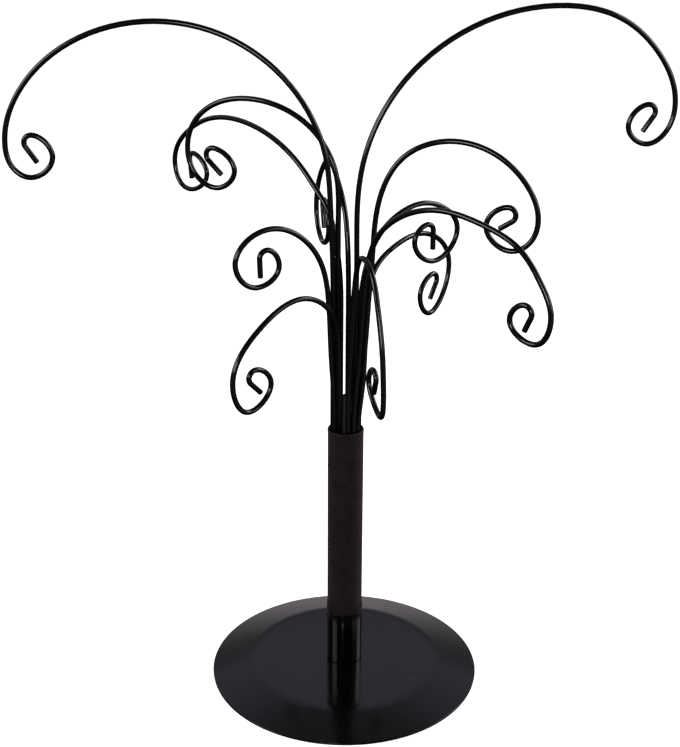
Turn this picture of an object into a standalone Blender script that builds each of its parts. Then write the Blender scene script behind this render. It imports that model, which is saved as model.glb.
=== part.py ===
"""Jewellery tree: twelve hooked wire branches in a tube that plugs into a round base.

Units are metres and +Z is up. The origin is the centre of the pad's underside, on the table.
Angles about the upright axis are in degrees, counted from +X towards +Y; -Y is the front.
"""

import math

import bpy
import numpy as np

MM = 0.001
GAP = 0.3 * MM            # clearance between pieces that seat on or in each other

# Base plate: pressed sheet, a nearly flat top, a conical band down to a hemmed rim
PAD_THICKNESS = 0.6 * MM
PAD_INSET = 2.0 * MM      # from the rim's edge to the pad's edge
BASE_RADIUS = 65.0 * MM
SHEET = 1.2 * MM
RIM_THICKNESS = 0.8 * MM
BAND_WIDTH = 20.0 * MM    # from the rim's edge in to the crease where the top begins
BAND_RISE = 5.4 * MM      # from the underside of the rim to the crease
CREASE_BLEND = 2.5 * MM   # how far the rounding reaches on either side of the crease
DOME_RISE = 0.4 * MM      # from the crease to the seat at the centre
HEM_WIDTH = 7.0 * MM
SEAT_MARGIN = 1.5 * MM    # flat seat beyond the socket's foot

# Socket: a short steel tube on the base, with a threaded plug in its foot
SOCKET_RADIUS = 8.55 * MM
SOCKET_WALL = 0.8 * MM
SOCKET_HEIGHT = 27.0 * MM
PLUG_HEIGHT = 8.0 * MM

# Screw from below: M5 pan head with a washer
SCREW_RADIUS = 2.5 * MM
SCREW_REACH = 6.5 * MM    # how far its shank enters the plug
SCREW_HEAD_RADIUS = 4.6 * MM
SCREW_HEAD_HEIGHT = 2.2 * MM
WASHER_RADIUS = 5.5 * MM
WASHER_THICKNESS = 0.8 * MM

# Bush: a bell-shaped collar on the socket's mouth, with a liner down inside it
BUSH_HEIGHT = 5.0 * MM
BUSH_SWELL = 0.2 * MM     # how far the bell stands out past the socket
LINER_LENGTH = 10.0 * MM
LINER_WALL = 0.5 * MM

# Trunk: a tube round the wires, on a stepped spigot that plugs into the socket
TUBE_LENGTH = 91.0 * MM
TUBE_WALL = 0.77 * MM
TUBE_LIP = 0.15 * MM      # how far the rolled mouth stands out
TUBE_LIP_HEIGHT = 2.4 * MM
WIRE_SLACK = 0.35 * MM    # between the ring of wires and the tube's bore
SPIGOT_HEAD = 18.4 * MM   # length of the spigot inside the tube
CORE_PROUD = 17.5 * MM    # how far the core stands above the mouth

# Branches: round wire, seated side by side in a ring inside the tube
WIRE_DIAMETER = 2.5 * MM
WIRE_GAP = 0.3 * MM
SEAT_PITCH = 27.0         # degrees between neighbours where they stand closest
END_BEND = 3.4 * MM       # centreline radius of the tight bend before the cut end

# Fineness of the faceted model
BASE_STEPS = 48
ROUND_STEPS = 32
DOME_POINTS = 3
CREASE_POINTS = 4
SPLINE_POINTS = 30        # samples on each span of a branch before thinning
MAX_TURN = 15.0           # degrees between rings on a branch
MAX_SAG = 0.14 * MM       # how far a chord may cut inside the branch's curve
BEND_POINTS = 10

# Each branch lies in its own upright plane. "faces" is the direction it reaches in and "seat"
# its place in the ring. "turn" is how far the cut end leans in from plumb, and "tip" is its
# length. "route" holds (reach from the seat, height above the tube's mouth) in millimetres:
# where it leaves plumb, along the arch, round the curl, and level on the curl's top.
BRANCHES = {
    "tall_left_branch": dict(
        faces=175, seat=180, turn=35, tip=8.5,
        route=[(0, 59.5), (1.5, 109.5), (3.5, 128.5), (10, 146), (23, 163.5), (49, 180),
               (77, 184.5), (112, 175.5), (137, 153.5), (145, 130.5), (142.5, 120),
               (135, 115.5), (124, 125.5), (133, 134.5)]),
    "tall_right_branch": dict(
        faces=12, seat=55, turn=35, tip=8.5,
        route=[(0, 9.5), (1, 84.5), (2.5, 119.5), (7.5, 137), (24.5, 163), (50, 181),
               (89, 189.5), (119, 183), (137, 168), (147, 146.5), (144, 132.5),
               (135, 127), (125.5, 135.5), (134.5, 145)]),
    "upper_left_branch": dict(
        faces=155, seat=147.5, turn=48, tip=9.0,
        route=[(0, 19.5), (-1.2, 64.5), (-1.3, 101.5), (0.3, 121.5), (5.5, 132), (12, 139),
               (44, 149), (61, 144.5), (71, 135.5), (74.5, 125.5), (70.5, 111.5),
               (58.5, 107), (50.5, 116), (61.5, 125)]),
    "rear_left_branch": dict(
        faces=130, seat=115, turn=7, tip=9.5,
        route=[(0, 59.5), (4.5, 90.5), (10.5, 102.5), (16, 107.3), (27, 116), (42, 124),
               (64, 129.5), (91, 129), (118, 118), (131.5, 99.5), (128, 90.5),
               (115.5, 88.5), (103.5, 100), (114.5, 107)]),
    "rear_branch": dict(
        faces=104, seat=82, turn=20, tip=10.0,
        route=[(0, 59.5), (2, 86.5), (7.8, 101), (21, 111), (36, 116.5), (51, 109.5),
               (61, 98), (64, 84.5), (52, 73.5), (39, 81.5), (47.5, 95)]),
    "middle_left_branch": dict(
        faces=210, seat=212.5, turn=2, tip=8.5,
        route=[(0, 4.5), (2, 36.5), (3.5, 64.5), (8.5, 85), (30, 101.5), (42.5, 98.5),
               (49, 88.5), (39.5, 76.5), (28, 84.5), (34, 92.5)]),
    "lower_left_branch": dict(
        faces=220, seat=240, turn=44, tip=7.8,
        route=[(0, 34.5), (1.8, 52.5), (8, 63.5), (20.5, 70), (45.5, 61), (59.5, 38),
               (51.5, 24.7), (39, 35.5), (47.5, 43.4)]),
    "front_branch": dict(
        faces=290, seat=279, turn=20, tip=6.5,
        route=[(0, 9.5), (4.5, 52.5), (7, 71.5), (16.5, 89.5), (27, 86.5), (34.5, 75),
               (39.5, 61.5), (43, 41.5), (40.5, 25.2), (30, 30), (25.8, 37.5),
               (31, 43.4)]),
    "upper_right_branch": dict(
        faces=348, seat=333, turn=57, tip=6.5,
        route=[(0, -4), (2.4, 24), (3.4, 48), (6, 84.5), (8, 107.5), (19.5, 130.5), (38.5, 138),
               (57, 134), (71.5, 121.5), (77.5, 106), (75, 96.5), (66.5, 91.5), (55.5, 103),
               (64.5, 110.8)]),
    "rear_right_branch": dict(
        faces=35, seat=0, turn=0, tip=9.0,
        route=[(0, 39.5), (1.3, 70), (5, 83), (11.5, 93), (24.5, 101), (38, 102),
               (55, 86.5), (41, 74), (30.5, 86.5), (37.5, 92)]),
    "front_right_branch": dict(
        faces=320, seat=306, turn=24, tip=7.0,
        route=[(0, 0), (2, 28), (4.3, 57), (7.2, 82.5), (11.2, 94.5), (19.5, 104), (42.5, 114),
               (68.5, 112), (86, 105), (96, 93.5), (101.5, 80), (95, 67.5), (82, 75.5), (89, 83)]),
    "lower_right_branch": dict(
        faces=50, seat=27, turn=33, tip=8.5,
        route=[(0, 0), (4.5, 33), (7.2, 58), (11, 73), (26.5, 81.5), (49.5, 82),
               (69, 60.5), (52.5, 41.5), (46.5, 53), (56, 60.5)]),
}

# Heights and radii that follow from the sizes above
RIM_BOTTOM = PAD_THICKNESS + GAP
BAND_TOP = RIM_BOTTOM + BAND_RISE
SEAT_TOP = BAND_TOP + DOME_RISE
SEAT_UNDER = SEAT_TOP - SHEET
SOCKET_BOTTOM = SEAT_TOP + GAP
SOCKET_TOP = SOCKET_BOTTOM + SOCKET_HEIGHT
SOCKET_BORE = SOCKET_RADIUS - SOCKET_WALL
PLUG_RADIUS = SOCKET_BORE - GAP
PLUG_TOP = SOCKET_BOTTOM + PLUG_HEIGHT
SCREW_HOLE = SCREW_RADIUS + GAP
LINER_RADIUS = SOCKET_BORE - GAP
BUSH_BORE = LINER_RADIUS - LINER_WALL
BUSH_BOTTOM = SOCKET_TOP + GAP
BUSH_TOP = BUSH_BOTTOM + BUSH_HEIGHT
TUBE_BOTTOM = BUSH_TOP + GAP
MOUTH = TUBE_BOTTOM + TUBE_LENGTH
WIRE_RADIUS = WIRE_DIAMETER / 2
RING_RADIUS = (WIRE_DIAMETER + WIRE_GAP) / (2 * math.sin(math.radians(SEAT_PITCH / 2)))
TUBE_BORE = RING_RADIUS + WIRE_RADIUS + WIRE_SLACK
TUBE_RADIUS = TUBE_BORE + TUBE_WALL
SPIGOT_RADIUS = BUSH_BORE - GAP
SPIGOT_HEAD_RADIUS = TUBE_BORE - GAP
SPIGOT_BOTTOM = PLUG_TOP + GAP
SPIGOT_TOP = TUBE_BOTTOM + SPIGOT_HEAD
WIRE_FOOT = SPIGOT_TOP + GAP
CORE_RADIUS = RING_RADIUS - WIRE_RADIUS - GAP


def clear_scene():
    """Remove whatever the open file holds, so the model starts from nothing."""
    for obj in list(bpy.data.objects):
        bpy.data.objects.remove(obj, do_unlink=True)


def new_collection(name):
    collection = bpy.data.collections.new(name)
    bpy.context.scene.collection.children.link(collection)
    return collection


def new_material(name, colour, roughness, metallic=0.0):
    """A plain Principled material, with its colour in linear values."""
    material = bpy.data.materials.new(name)
    material.use_nodes = True
    shader = material.node_tree.nodes["Principled BSDF"]
    shader.inputs["Base Color"].default_value = (*colour, 1.0)
    shader.inputs["Roughness"].default_value = roughness
    shader.inputs["Metallic"].default_value = metallic
    material.diffuse_color = (*colour, 1.0)
    return material


def new_joint_empty(name, height, collection):
    """An empty on the upright axis, for the pieces that turn or lift together."""
    empty = bpy.data.objects.new(name, None)
    empty.empty_display_size = 20 * MM
    empty.location = (0, 0, height)
    collection.objects.link(empty)
    return empty


def add_piece(name, data, material, collection, parent=None):
    """Link an object for one piece, with its place counted from its parent empty."""
    obj = bpy.data.objects.new(name, data)
    data.materials.append(material)
    collection.objects.link(obj)
    if parent:
        obj.parent = parent
        obj.location.z = -parent.location.z
    return obj


def turned(name, profile, material, collection, parent=None, steps=ROUND_STEPS):
    """Turn a profile of (radius, height) points, which runs down the outer side."""
    hollow = all(radius > 0 for radius, _ in profile)
    last = len(profile) - 1
    edges = [(i, i + 1) for i in range(last)]
    if hollow:
        edges.append((last, 0))
    mesh = bpy.data.meshes.new(name)
    mesh.from_pydata([(radius, 0, height) for radius, height in profile], edges, [])
    obj = add_piece(name, mesh, material, collection, parent)
    screw = obj.modifiers.new("Turn", "SCREW")
    screw.axis = "Z"
    screw.angle = math.tau
    screw.steps = steps
    screw.render_steps = steps
    screw.use_merge_vertices = True
    screw.merge_threshold = 0.01 * MM
    screw.use_smooth_shade = True
    return obj


def rounded_corner(before, corner, after, points):
    """Points of a parabola that leaves one edge of a corner and joins the other."""
    curve = []
    for i in range(points + 1):
        t = i / points
        curve.append(tuple(
            (1 - t) ** 2 * p + 2 * t * (1 - t) * q + t * t * r
            for p, q, r in zip(before, corner, after)
        ))
    return curve


def base_plate_top():
    """The plate's upper side, from the seat's edge over the crease to the rim."""
    seat_radius = SOCKET_RADIUS + SEAT_MARGIN
    crease_radius = BASE_RADIUS - BAND_WIDTH
    rim = (BASE_RADIUS - 0.5 * MM, RIM_BOTTOM + RIM_THICKNESS)
    slope = (BAND_TOP - rim[1]) / (rim[0] - crease_radius)
    inner_radius = crease_radius - CREASE_BLEND
    dome = []
    for i in range(DOME_POINTS + 1):
        radius = seat_radius + (inner_radius - seat_radius) * i / DOME_POINTS
        share = (radius - seat_radius) / (crease_radius - seat_radius)
        dome.append((radius, SEAT_TOP - DOME_RISE * share ** 2))
    after = (crease_radius + CREASE_BLEND, BAND_TOP - slope * CREASE_BLEND)
    crease = rounded_corner(dome[-1], (crease_radius, BAND_TOP), after, CREASE_POINTS)
    return dome[:-1] + crease, rim, slope


def base_plate_profile():
    """Section of the pressed plate, from the screw hole out over the rim and back below."""
    top, rim, slope = base_plate_top()
    hem_top = RIM_BOTTOM + RIM_THICKNESS * 0.8
    hem_radius = BASE_RADIUS - HEM_WIDTH
    hem_root = rim[0] - (hem_top + SHEET - rim[1]) / slope
    edge = [
        rim,
        (BASE_RADIUS, rim[1] - 0.25 * MM),
        (BASE_RADIUS, RIM_BOTTOM + 0.25 * MM),
        (BASE_RADIUS - 0.35 * MM, RIM_BOTTOM),
        (hem_radius, RIM_BOTTOM),
        (hem_radius, hem_top),
        (hem_root, hem_top),
    ]
    under = [(radius, height - SHEET) for radius, height in reversed(top)]
    return [(SCREW_HOLE, SEAT_TOP)] + top + edge + under + [(SCREW_HOLE, SEAT_UNDER)]


def build_base(collection, paint, steel, felt):
    """The parts that stay on the table: plate, pad, socket, plug, washer and screw."""
    turned("base_plate", base_plate_profile(), paint, collection, steps=BASE_STEPS)

    pad_radius = BASE_RADIUS - PAD_INSET
    pad = [(0, PAD_THICKNESS), (pad_radius, PAD_THICKNESS), (pad_radius, 0), (0, 0)]
    turned("base_pad", pad, felt, collection, steps=BASE_STEPS)

    chamfer = 0.25 * MM
    socket = [
        (SOCKET_BORE, SOCKET_TOP),
        (SOCKET_RADIUS - chamfer, SOCKET_TOP),
        (SOCKET_RADIUS, SOCKET_TOP - chamfer),
        (SOCKET_RADIUS, SOCKET_BOTTOM + chamfer),
        (SOCKET_RADIUS - chamfer, SOCKET_BOTTOM),
        (SOCKET_BORE, SOCKET_BOTTOM),
    ]
    turned("base_socket", socket, paint, collection)

    thread_top = SOCKET_BOTTOM + SCREW_REACH + GAP
    plug = [
        (0, PLUG_TOP),
        (PLUG_RADIUS, PLUG_TOP),
        (PLUG_RADIUS, SOCKET_BOTTOM),
        (SCREW_HOLE, SOCKET_BOTTOM),
        (SCREW_HOLE, thread_top),
        (0, thread_top),
    ]
    turned("socket_plug", plug, steel, collection)

    washer_top = SEAT_UNDER - GAP
    washer_bottom = washer_top - WASHER_THICKNESS
    washer = [
        (SCREW_HOLE, washer_top),
        (WASHER_RADIUS, washer_top),
        (WASHER_RADIUS, washer_bottom),
        (SCREW_HOLE, washer_bottom),
    ]
    turned("base_washer", washer, steel, collection)

    head_top = washer_bottom - GAP
    head_bottom = head_top - SCREW_HEAD_HEIGHT
    dome_edge = SCREW_HEAD_RADIUS * 0.8
    screw = [
        (0, SOCKET_BOTTOM + SCREW_REACH),
        (SCREW_RADIUS, SOCKET_BOTTOM + SCREW_REACH),
        (SCREW_RADIUS, head_top),
        (SCREW_HEAD_RADIUS, head_top),
        (SCREW_HEAD_RADIUS, head_bottom + SCREW_HEAD_HEIGHT * 0.35),
        (dome_edge, head_bottom),
        (0, head_bottom),
    ]
    turned("base_screw", screw, steel, collection)


def build_bush(collection, nylon, parent):
    """The collar on the socket's mouth, in which the trunk plugs and turns."""
    bell_radius = SOCKET_RADIUS + BUSH_SWELL
    liner_bottom = SOCKET_TOP - LINER_LENGTH
    profile = [
        (BUSH_BORE, BUSH_TOP),
        (TUBE_RADIUS, BUSH_TOP),
        (bell_radius - 0.05 * MM, BUSH_TOP - BUSH_HEIGHT * 0.35),
        (bell_radius, BUSH_TOP - BUSH_HEIGHT * 0.7),
        (SOCKET_RADIUS, BUSH_BOTTOM),
        (LINER_RADIUS, BUSH_BOTTOM),
        (LINER_RADIUS, liner_bottom),
        (BUSH_BORE, liner_bottom),
    ]
    turned("socket_bush", profile, nylon, collection, parent)


def build_trunk(collection, matte, steel, wood, parent):
    """The tube, the spigot that it stands on and the core that spreads the wires."""
    lip_start = MOUTH - TUBE_LIP_HEIGHT
    lip_radius = TUBE_RADIUS + TUBE_LIP
    tube = [
        (TUBE_BORE + 0.35 * MM, MOUTH),
        (lip_radius - 0.2 * MM, MOUTH),
        (lip_radius, MOUTH - 0.5 * MM),
        (TUBE_RADIUS, lip_start),
        (TUBE_RADIUS, TUBE_BOTTOM),
        (TUBE_BORE, TUBE_BOTTOM),
        (TUBE_BORE, MOUTH - 0.5 * MM),
    ]
    turned("trunk_tube", tube, matte, collection, parent)

    chamfer = 1.0 * MM
    spigot = [
        (0, SPIGOT_TOP),
        (SPIGOT_HEAD_RADIUS, SPIGOT_TOP),
        (SPIGOT_HEAD_RADIUS, TUBE_BOTTOM),
        (SPIGOT_RADIUS, TUBE_BOTTOM),
        (SPIGOT_RADIUS, SPIGOT_BOTTOM + chamfer),
        (SPIGOT_RADIUS - chamfer, SPIGOT_BOTTOM),
        (0, SPIGOT_BOTTOM),
    ]
    turned("trunk_spigot", spigot, steel, collection, parent)

    core_top = MOUTH + CORE_PROUD
    core = [
        (0, core_top),
        (CORE_RADIUS * 0.45, core_top - 1.0 * MM),
        (CORE_RADIUS, core_top - CORE_PROUD * 0.6),
        (CORE_RADIUS, WIRE_FOOT),
        (0, WIRE_FOOT),
    ]
    turned("bundle_core", core, wood, collection, parent, steps=ROUND_STEPS // 2)


def smooth_spans(points, start_slope, end_slope):
    """Sample a curvature-continuous cubic through the points, spaced by chord length."""
    points = np.array(points, dtype=float)
    count = len(points)
    chord = np.linalg.norm(np.diff(points, axis=0), axis=1)
    matrix = np.zeros((count, count))
    right = np.zeros((count, 2))
    matrix[0, 0] = 1
    matrix[-1, -1] = 1
    right[0] = start_slope
    right[-1] = end_slope
    for i in range(1, count - 1):
        before, after = chord[i - 1], chord[i]
        matrix[i, i - 1] = after
        matrix[i, i] = 2 * (before + after)
        matrix[i, i + 1] = before
        rise_in = (points[i] - points[i - 1]) * after / before
        rise_out = (points[i + 1] - points[i]) * before / after
        right[i] = 3 * (rise_in + rise_out)
    slope = np.linalg.solve(matrix, right)
    sampled = []
    for i in range(count - 1):
        for k in range(SPLINE_POINTS):
            u = k / SPLINE_POINTS
            ends = (1 + 2 * u) * (1 - u) ** 2 * points[i] + u * u * (3 - 2 * u) * points[i + 1]
            pull = u * (1 - u) ** 2 * slope[i] - u * u * (1 - u) * slope[i + 1]
            sampled.append(ends + chord[i] * pull)
    sampled.append(points[-1])
    return sampled


def cut_end(start, turn, tip):
    """Bend tightly over from the curl's level top, then run straight to the cut end."""
    centre = start - np.array([0, END_BEND])
    sweep = math.pi / 2 + math.radians(turn)
    bend = []
    for k in range(1, BEND_POINTS + 1):
        angle = sweep * k / BEND_POINTS
        bend.append(centre + END_BEND * np.array([math.sin(angle), math.cos(angle)]))
    heading = np.array([math.cos(sweep), -math.sin(sweep)])
    return bend + [bend[-1] + tip * heading]


def thin_out(route):
    """Keep only the points that the curve needs, by its turn and by how far a chord sags."""
    kept = [route[0]]
    turned_so_far = 0.0
    for i in range(1, len(route) - 1):
        into = route[i] - route[i - 1]
        out = route[i + 1] - route[i]
        cross = into[0] * out[1] - into[1] * out[0]
        turned_so_far += abs(math.atan2(cross, float(np.dot(into, out))))
        reach = float(np.linalg.norm(route[i + 1] - kept[-1]))
        if turned_so_far > math.radians(MAX_TURN) or turned_so_far * reach / 8 > MAX_SAG:
            kept.append(route[i])
            turned_so_far = 0.0
    kept.append(route[-1])
    return kept


def branch_route(branch):
    """Centreline in the branch's own plane: stem, arch, curl, tight bend and cut end."""
    guide = [(reach * MM, MOUTH + height * MM) for reach, height in branch["route"]]
    curve = smooth_spans(guide, start_slope=(0, 1), end_slope=(1, 0))
    end = cut_end(curve[-1], branch["turn"], branch["tip"] * MM)
    return thin_out([np.array([0, WIRE_FOOT])] + curve + end)


def build_branch(name, branch, collection, paint, parent):
    """One wire as a bevelled curve, drawn in XZ and turned to face its own way."""
    route = branch_route(branch)
    data = bpy.data.curves.new(name, "CURVE")
    data.dimensions = "3D"
    data.bevel_depth = WIRE_RADIUS
    data.bevel_resolution = 2
    data.use_fill_caps = True
    spline = data.splines.new("POLY")
    spline.points.add(len(route) - 1)
    for point, (reach, height) in zip(spline.points, route):
        point.co = (reach, 0, height, 1)
    obj = add_piece(name, data, paint, collection, parent)
    seat = math.radians(branch["seat"])
    obj.location.x = RING_RADIUS * math.cos(seat)
    obj.location.y = RING_RADIUS * math.sin(seat)
    obj.rotation_euler.z = math.radians(branch["faces"])


def build_tree():
    clear_scene()
    collection = new_collection("jewellery_tree")
    gloss = new_material("gloss black enamel", (0.008, 0.008, 0.009), 0.18)
    matte = new_material("matte black coating", (0.018, 0.016, 0.017), 0.62)
    nylon = new_material("black nylon", (0.014, 0.013, 0.013), 0.55)
    steel = new_material("zinc plated steel", (0.55, 0.55, 0.53), 0.35, 1.0)
    felt = new_material("black felt", (0.02, 0.02, 0.02), 0.95)
    wood = new_material("stained beech", (0.02, 0.015, 0.012), 0.7)

    build_base(collection, gloss, steel, felt)
    swivel = new_joint_empty("swivel_axis", BUSH_BOTTOM, collection)
    build_bush(collection, nylon, swivel)
    lift = new_joint_empty("lift_axis", TUBE_BOTTOM, collection)
    build_trunk(collection, matte, steel, wood, lift)
    for name, branch in BRANCHES.items():
        build_branch(name, branch, collection, gloss, lift)


build_tree()
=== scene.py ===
"""Jewellery tree: the fine surfaces, finishes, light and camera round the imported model.

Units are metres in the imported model's frame, +Z up, with -Y as the front. Angles about the
upright axis are in degrees, counted from +X towards +Y.
"""

import math

import bmesh
import bpy
import numpy as np
from bpy.props import (
    FloatProperty,
    FloatVectorProperty,
    IntProperty,
    PointerProperty,
)
from mathutils import Euler, Matrix, Vector


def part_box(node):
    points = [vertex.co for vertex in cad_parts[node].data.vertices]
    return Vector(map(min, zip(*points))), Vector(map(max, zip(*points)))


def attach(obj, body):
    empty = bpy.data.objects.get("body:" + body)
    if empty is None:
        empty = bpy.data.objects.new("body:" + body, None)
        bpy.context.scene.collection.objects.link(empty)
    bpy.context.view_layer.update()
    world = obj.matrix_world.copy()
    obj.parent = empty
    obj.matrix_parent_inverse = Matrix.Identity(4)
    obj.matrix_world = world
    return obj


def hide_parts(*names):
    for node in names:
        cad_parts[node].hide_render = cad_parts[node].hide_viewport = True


bl_info = {
    "name": "Jewellery tree",
    "version": (1, 0, 0),
    "blender": (4, 5, 0),
    "location": "3D View > Sidebar > Jewellery tree",
    "description": "Fine surfaces, finishes, light and camera for a table-top jewellery tree",
    "category": "Object",
}

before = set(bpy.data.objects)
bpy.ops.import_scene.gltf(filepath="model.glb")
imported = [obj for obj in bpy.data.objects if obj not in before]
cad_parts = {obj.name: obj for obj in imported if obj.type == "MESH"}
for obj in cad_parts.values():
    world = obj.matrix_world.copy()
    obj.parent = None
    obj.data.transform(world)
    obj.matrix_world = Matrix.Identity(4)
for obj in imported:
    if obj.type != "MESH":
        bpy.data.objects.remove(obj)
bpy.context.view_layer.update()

MM = 0.001


def turned_size(node):
    """Outer radius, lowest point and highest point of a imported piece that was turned."""
    low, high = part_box(node)
    return high.x, low.z, high.z


PLATE_RADIUS, RIM_BOTTOM, SEAT_TOP = turned_size("base_plate")
PAD_RADIUS, PAD_BOTTOM, PAD_TOP = turned_size("base_pad")
SOCKET_RADIUS, SOCKET_BOTTOM, SOCKET_TOP = turned_size("base_socket")
BUSH_RADIUS, LINER_BOTTOM, BUSH_TOP = turned_size("socket_bush")
LIP_RADIUS, _, MOUTH = turned_size("trunk_tube")
CORE_RADIUS, WIRE_FOOT, CORE_TOP = turned_size("bundle_core")

# Walls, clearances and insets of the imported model
GAP = 0.3 * MM               # between pieces that seat on or in each other
SCREW_HOLE = 2.8 * MM        # radius of the hole in the plate
RIM_INSET = 0.5 * MM         # from the rim's edge in to the band's foot
SOCKET_WALL = 0.8 * MM
LINER_WALL = 0.5 * MM
TUBE_WALL = 0.77 * MM
TUBE_LIP = 0.15 * MM         # how far the tube's mouth stands out
TUBE_LIP_HEIGHT = 2.4 * MM
TUBE_RADIUS = LIP_RADIUS - TUBE_LIP

# Ring that the wires stand in, inside the trunk tube, and the bend before their cut ends
WIRE_GAP = 0.3 * MM
SEAT_PITCH = 27.0            # degrees between neighbours where they stand closest
END_BEND = 3.4 * MM          # centreline radius of the bend

# Samples on each span of a route, on the bend, and on the curves of the plate's section
SPLINE_POINTS = 30
BEND_POINTS = 20
DOME_POINTS = 12
CREASE_POINTS = 12
BEAD_POINTS = 6

# Faces across a rounded edge, and across the rounding of a wire's cut end
EDGE_SEGMENTS = 3
END_SEGMENTS = 4

# Points of a turned mesh that are closer than this become one
MERGE_DISTANCE = 0.001 * MM

# The wires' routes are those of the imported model. "faces" is the direction that a branch
# reaches in, "seat" its place in the ring, "turn" how far its cut end leans in from plumb and
# "tip" its length. "route" holds (reach from the seat, height above the mouth), in millimetres.
BRANCHES = {
    "tall_left_branch": dict(
        faces=175, seat=180, turn=35, tip=8.5,
        route=[(0, 59.5), (1.5, 109.5), (3.5, 128.5), (10, 146), (23, 163.5), (49, 180),
               (77, 184.5), (112, 175.5), (137, 153.5), (145, 130.5), (142.5, 120),
               (135, 115.5), (124, 125.5), (133, 134.5)]),
    "tall_right_branch": dict(
        faces=12, seat=55, turn=35, tip=8.5,
        route=[(0, 9.5), (1, 84.5), (2.5, 119.5), (7.5, 137), (24.5, 163), (50, 181),
               (89, 189.5), (119, 183), (137, 168), (147, 146.5), (144, 132.5),
               (135, 127), (125.5, 135.5), (134.5, 145)]),
    "upper_left_branch": dict(
        faces=155, seat=147.5, turn=48, tip=9.0,
        route=[(0, 19.5), (-1.2, 64.5), (-1.3, 101.5), (0.3, 121.5), (5.5, 132), (12, 139),
               (44, 149), (61, 144.5), (71, 135.5), (74.5, 125.5), (70.5, 111.5),
               (58.5, 107), (50.5, 116), (61.5, 125)]),
    "rear_left_branch": dict(
        faces=130, seat=115, turn=7, tip=9.5,
        route=[(0, 59.5), (4.5, 90.5), (10.5, 102.5), (16, 107.3), (27, 116), (42, 124),
               (64, 129.5), (91, 129), (118, 118), (131.5, 99.5), (128, 90.5),
               (115.5, 88.5), (103.5, 100), (114.5, 107)]),
    "rear_branch": dict(
        faces=104, seat=82, turn=20, tip=10.0,
        route=[(0, 59.5), (2, 86.5), (7.8, 101), (21, 111), (36, 116.5), (51, 109.5),
               (61, 98), (64, 84.5), (52, 73.5), (39, 81.5), (47.5, 95)]),
    "middle_left_branch": dict(
        faces=210, seat=212.5, turn=2, tip=8.5,
        route=[(0, 4.5), (2, 36.5), (3.5, 64.5), (8.5, 85), (30, 101.5), (42.5, 98.5),
               (49, 88.5), (39.5, 76.5), (28, 84.5), (34, 92.5)]),
    "lower_left_branch": dict(
        faces=220, seat=240, turn=44, tip=7.8,
        route=[(0, 34.5), (1.8, 52.5), (8, 63.5), (20.5, 70), (45.5, 61), (59.5, 38),
               (51.5, 24.7), (39, 35.5), (47.5, 43.4)]),
    "front_branch": dict(
        faces=290, seat=279, turn=20, tip=6.5,
        route=[(0, 9.5), (4.5, 52.5), (7, 71.5), (16.5, 89.5), (27, 86.5), (34.5, 75),
               (39.5, 61.5), (43, 41.5), (40.5, 25.2), (30, 30), (25.8, 37.5),
               (31, 43.4)]),
    "upper_right_branch": dict(
        faces=348, seat=333, turn=57, tip=6.5,
        route=[(0, -4), (2.4, 24), (3.4, 48), (6, 84.5), (8, 107.5), (19.5, 130.5), (38.5, 138),
               (57, 134), (71.5, 121.5), (77.5, 106), (75, 96.5), (66.5, 91.5), (55.5, 103),
               (64.5, 110.8)]),
    "rear_right_branch": dict(
        faces=35, seat=0, turn=0, tip=9.0,
        route=[(0, 39.5), (1.3, 70), (5, 83), (11.5, 93), (24.5, 101), (38, 102),
               (55, 86.5), (41, 74), (30.5, 86.5), (37.5, 92)]),
    "front_right_branch": dict(
        faces=320, seat=306, turn=24, tip=7.0,
        route=[(0, 0), (2, 28), (4.3, 57), (7.2, 82.5), (11.2, 94.5), (19.5, 104), (42.5, 114),
               (68.5, 112), (86, 105), (96, 93.5), (101.5, 80), (95, 67.5), (82, 75.5), (89, 83)]),
    "lower_right_branch": dict(
        faces=50, seat=27, turn=33, tip=8.5,
        route=[(0, 0), (4.5, 33), (7.2, 58), (11, 73), (26.5, 81.5), (49.5, 82),
               (69, 60.5), (52.5, 41.5), (46.5, 53), (56, 60.5)]),
}


def linear(hex_colour):
    """Turn an sRGB hex value such as "#1a1816" to linear red, green and blue."""
    channels = []
    for start in (1, 3, 5):
        value = int(hex_colour[start:start + 2], 16) / 255
        if value <= 0.04045:
            channels.append(value / 12.92)
        else:
            channels.append(((value + 0.055) / 1.055) ** 2.4)
    return tuple(channels)


def length(name, description, default):
    """A setting that is a length, in metres."""
    return FloatProperty(
        name=name, description=description, default=default, min=0.0, unit="LENGTH", precision=5
    )


def turn(name, description, degrees):
    """A setting that is an angle, given in degrees."""
    return FloatProperty(
        name=name, description=description, default=math.radians(degrees), subtype="ANGLE"
    )


def colour(name, description, hex_colour):
    """A setting that is a colour, given as an sRGB hex value."""
    return FloatVectorProperty(
        name=name, description=description, default=linear(hex_colour), size=3,
        min=0.0, max=1.0, subtype="COLOR",
    )


def share(name, description, default):
    """A setting from 0 to 1."""
    return FloatProperty(
        name=name, description=description, default=default, min=0.0, max=1.0, subtype="FACTOR"
    )


def strength(name, description, default):
    """A setting for how strong a light is."""
    return FloatProperty(name=name, description=description, default=default, min=0.0)


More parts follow.
